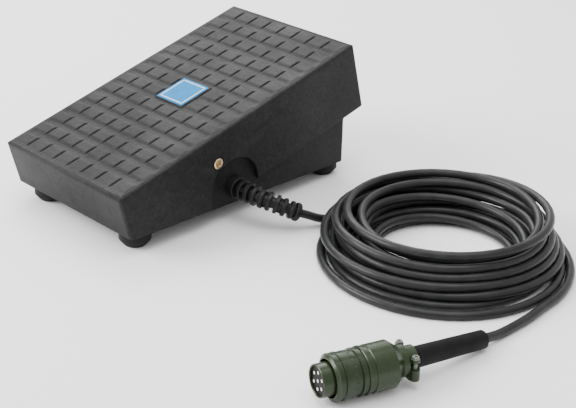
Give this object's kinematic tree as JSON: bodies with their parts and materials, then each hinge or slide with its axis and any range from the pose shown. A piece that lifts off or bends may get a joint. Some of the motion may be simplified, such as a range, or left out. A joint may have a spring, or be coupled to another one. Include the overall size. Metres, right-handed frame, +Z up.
{
  "type": "industrial foot switch",
  "caption": "Remote foot control with a rocking ribbed pedal, geared potentiometer, plunger switch, coiled cord and circular plug.",
  "frame": {"origin": "centre of the pedal and base box's footprint, on the floor under the rubber feet", "axes": "+X to the operator's right, towards the side that the cord leaves; +Y towards the raised toe end; +Z up"},
  "size_m": [0.418, 0.3225, 0.1181],
  "materials": {
    "painted_steel": "satin black textured enamel",
    "base_paint": "satin black",
    "emblem_print": "satin blue",
    "brass": "machined",
    "white_nylon": "moulded",
    "zinc": "zinc plated",
    "spring_steel": "bright wire",
    "black_rubber": "matt",
    "cord_jacket": "satin",
    "black_plastic": "moulded",
    "green_plastic": "moulded",
    "red_plastic": "moulded",
    "wire_jacket": "satin",
    "olive_plating": "olive drab chromate",
    "tin": "bright plated"
  },
  "bodies": {
    "base": {"base_tub": "base_paint", "rubber_feet": "black_rubber", "foot_washers": "zinc", "foot_screws": "zinc", "pivot_screws": "brass", "pivot_nuts": "brass", "heel_bumpers": "black_rubber", "toe_bumpers": "black_rubber", "return_spring_left": "spring_steel", "return_spring_right": "spring_steel", "pot_bracket": "zinc", "bracket_screws": "zinc", "potentiometer": "green_plastic", "pot_washer": "zinc", "pot_nut": "zinc", "micro_switch": "black_plastic", "switch_screws": "zinc", "strain_relief": "black_rubber", "inner_cord": "cord_jacket", "cord_clamp": "zinc", "clamp_screws": "zinc", "wiring": "wire_jacket", "cord_lead": "cord_jacket", "cord_coil": "cord_jacket", "cord_tail": "cord_jacket", "cord_sleeve": "black_rubber", "plug_shell": "olive_plating", "plug_insert": "black_plastic", "plug_contacts": "tin", "backshell": "olive_plating", "cable_clamp": "olive_plating", "clamp_strap": "olive_plating", "strap_screws": "zinc"},
    "pedal": {"pedal_cover": "painted_steel", "emblem_plate": "emblem_print", "pivot_bushes": "brass", "sector_gear": "white_nylon", "sector_screws": "zinc"},
    "pot_rotor": {"pot_shaft": "zinc", "pinion_gear": "brass"},
    "plunger": {"switch_plunger": "red_plastic"},
    "nut": {"coupling_nut": "olive_plating"}
  },
  "joints": [
    {"name": "pedal_tilt", "type": "hinge", "parent": "base", "child": "pedal", "pos_m": [0, -0.0363, 0.0535], "axis": [-1, 0, 0], "range_deg": [0, 12], "stiffness_Nm_per_rad": 33.7, "springref_deg": -4.33, "deforming": ["return_spring_left", "return_spring_right"]},
    {"name": "pot_turn", "type": "hinge", "parent": "base", "child": "pot_rotor", "pos_m": [0.0305, 0.01456, 0.03499], "axis": [-1, 0, 0], "range_deg": [-96, 0]},
    {"name": "plunger_press", "type": "slide", "parent": "base", "child": "plunger", "axis": [0, 0, -1], "range_m": [0, 0.0012]},
    {"name": "nut_turn", "type": "hinge", "parent": "base", "child": "nut", "pos_m": [0.31119, -0.14203, 0.0162], "axis": [0.3256, 0.9455, 0], "continuous": true}
  ],
  "couplings": [
    {"joint": "pot_turn", "follows": "pedal_tilt", "ratio": -8},
    {"joint": "plunger_press", "follows": "pedal_tilt", "m_per_rad": 0.0057296}
  ]
}
